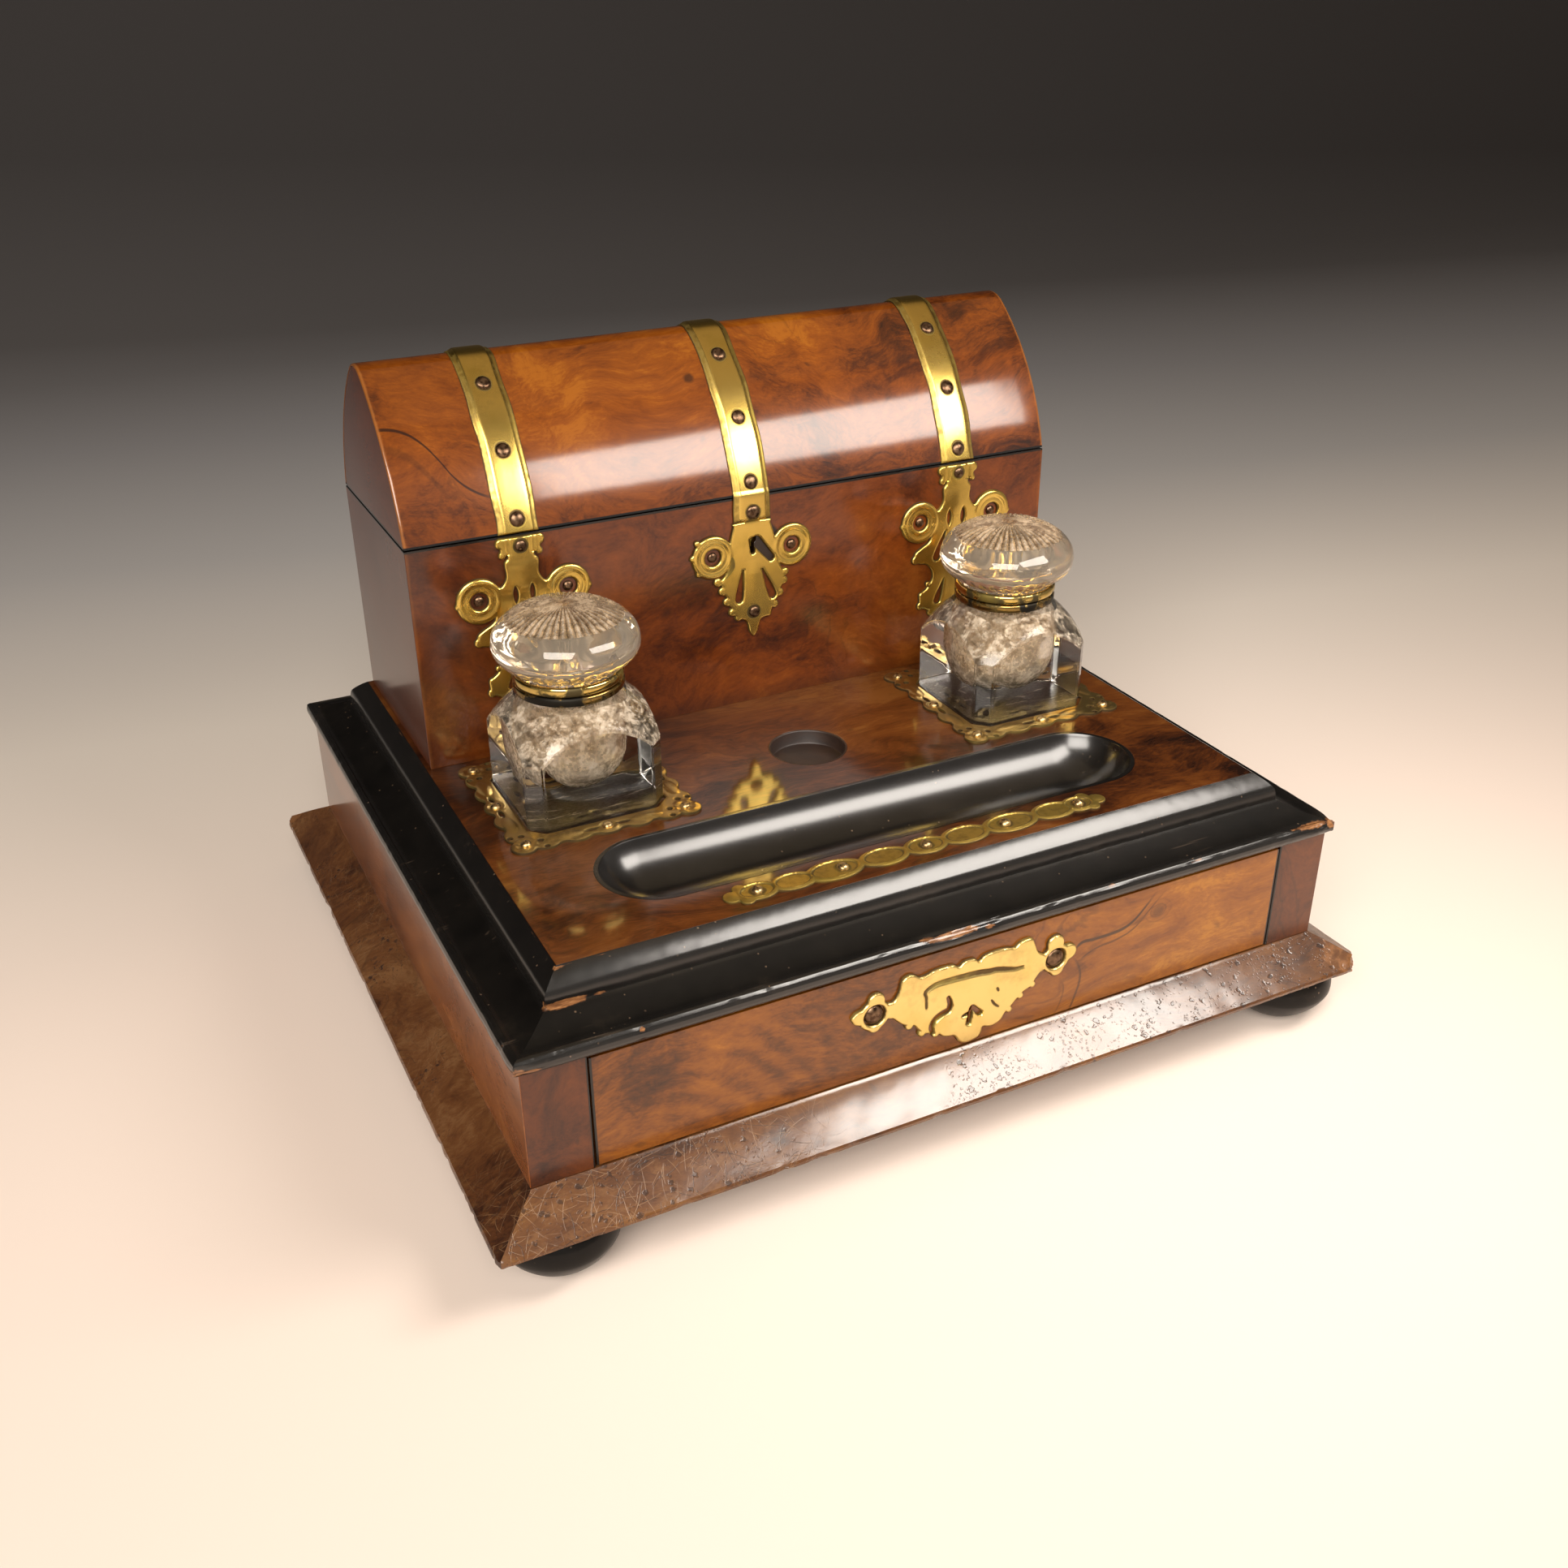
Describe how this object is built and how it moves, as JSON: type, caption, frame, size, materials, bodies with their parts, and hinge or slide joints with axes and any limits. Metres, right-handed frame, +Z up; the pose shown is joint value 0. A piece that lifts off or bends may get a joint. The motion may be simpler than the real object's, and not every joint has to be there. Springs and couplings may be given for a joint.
{
  "type": "desk inkstand",
  "caption": "Wooden desk inkstand: a case with a drawer on a moulded plinth and bun feet, with a pen tray, lidded glass inkwells and a domed stationery chest on top.",
  "frame": {"origin": "on the ground under the middle of the stand", "axes": "+X to the right along the drawer front, +Y to the back where the chest stands, +Z up"},
  "size_m": [0.3652, 0.324, 0.2556],
  "materials": {
    "walnut": "burr walnut veneer, french polished",
    "walnut_plinth": "burr walnut veneer, scratched and crackled old polish",
    "ebonised": "ebonised wood, satin polish, worn edges",
    "brass": "polished brass, tarnished in the recesses",
    "bronze": "dark bronzed brass pin heads",
    "glass": "clear cut glass",
    "pine": "plain pine, unpolished",
    "steel": "plain steel hinge pins"
  },
  "bodies": {
    "stand": {"base_board": "pine", "plinth_mouldings": "walnut_plinth", "bun_feet": "ebonised", "case_side_left": "walnut", "case_side_right": "walnut", "case_back": "walnut", "front_post_left": "walnut", "front_post_right": "walnut", "drawer_guides": "pine", "top_board": "walnut", "top_mouldings": "ebonised", "pen_tray": "ebonised", "recess_liner": "walnut", "chest_front": "walnut", "chest_back": "walnut", "chest_left": "walnut", "chest_right": "walnut", "chest_floor": "pine", "letter_dividers": "walnut", "finial_left": "brass", "finial_centre": "brass", "finial_right": "brass", "chest_rivets": "bronze", "lid_hinge_fixed_leaves": "brass", "lid_hinge_pins": "steel", "chest_lock": "brass", "gallery_left": "brass", "gallery_right": "brass", "gallery_pins": "brass", "tray_strip": "brass", "strip_pins": "brass"},
    "chest_lid": {"lid_shell": "walnut", "lid_end_left": "walnut", "lid_end_right": "walnut", "lid_strap_left": "brass", "lid_strap_centre": "brass", "lid_strap_right": "brass", "lid_rivets": "bronze", "lid_hinge_moving_leaves": "brass", "lid_lock_plate": "brass"},
    "drawer": {"drawer_front": "walnut", "drawer_side_left": "pine", "drawer_side_right": "pine", "drawer_back": "pine", "drawer_bottom": "pine", "drawer_lock": "brass", "drawer_escutcheon": "brass", "escutcheon_screws": "bronze"},
    "inkwell_left": {"inkwell_left_bottle": "glass", "inkwell_left_collar": "brass", "inkwell_left_hinge_pin": "steel"},
    "inkwell_left_lid": {"inkwell_left_lid_ring": "brass", "inkwell_left_glass_lid": "glass"},
    "inkwell_right": {"inkwell_right_bottle": "glass", "inkwell_right_collar": "brass", "inkwell_right_hinge_pin": "steel"},
    "inkwell_right_lid": {"inkwell_right_lid_ring": "brass", "inkwell_right_glass_lid": "glass"}
  },
  "joints": [
    {"name": "chest_lid_hinge", "type": "hinge", "parent": "stand", "child": "chest_lid", "pos_m": [0, 0.1221, 0.195], "axis": [-1, 0, 0], "range_deg": [0, 100]},
    {"name": "drawer_slide", "type": "slide", "parent": "stand", "child": "drawer", "axis": [0, -1, 0], "range_m": [0, 0.17]},
    {"name": "inkwell_left_lift", "type": "slide", "parent": "stand", "child": "inkwell_left", "axis": [0, 0, 1], "range_m": [0, 0.06]},
    {"name": "inkwell_left_lid_hinge", "type": "hinge", "parent": "inkwell_left", "child": "inkwell_left_lid", "pos_m": [-0.0963, 0.0075, 0.1529], "axis": [-1, 0, 0], "range_deg": [0, 48]},
    {"name": "inkwell_right_lift", "type": "slide", "parent": "stand", "child": "inkwell_right", "axis": [0, 0, 1], "range_m": [0, 0.06]},
    {"name": "inkwell_right_lid_hinge", "type": "hinge", "parent": "inkwell_right", "child": "inkwell_right_lid", "pos_m": [0.0963, 0.0075, 0.1529], "axis": [-1, 0, 0], "range_deg": [0, 48]}
  ]
}
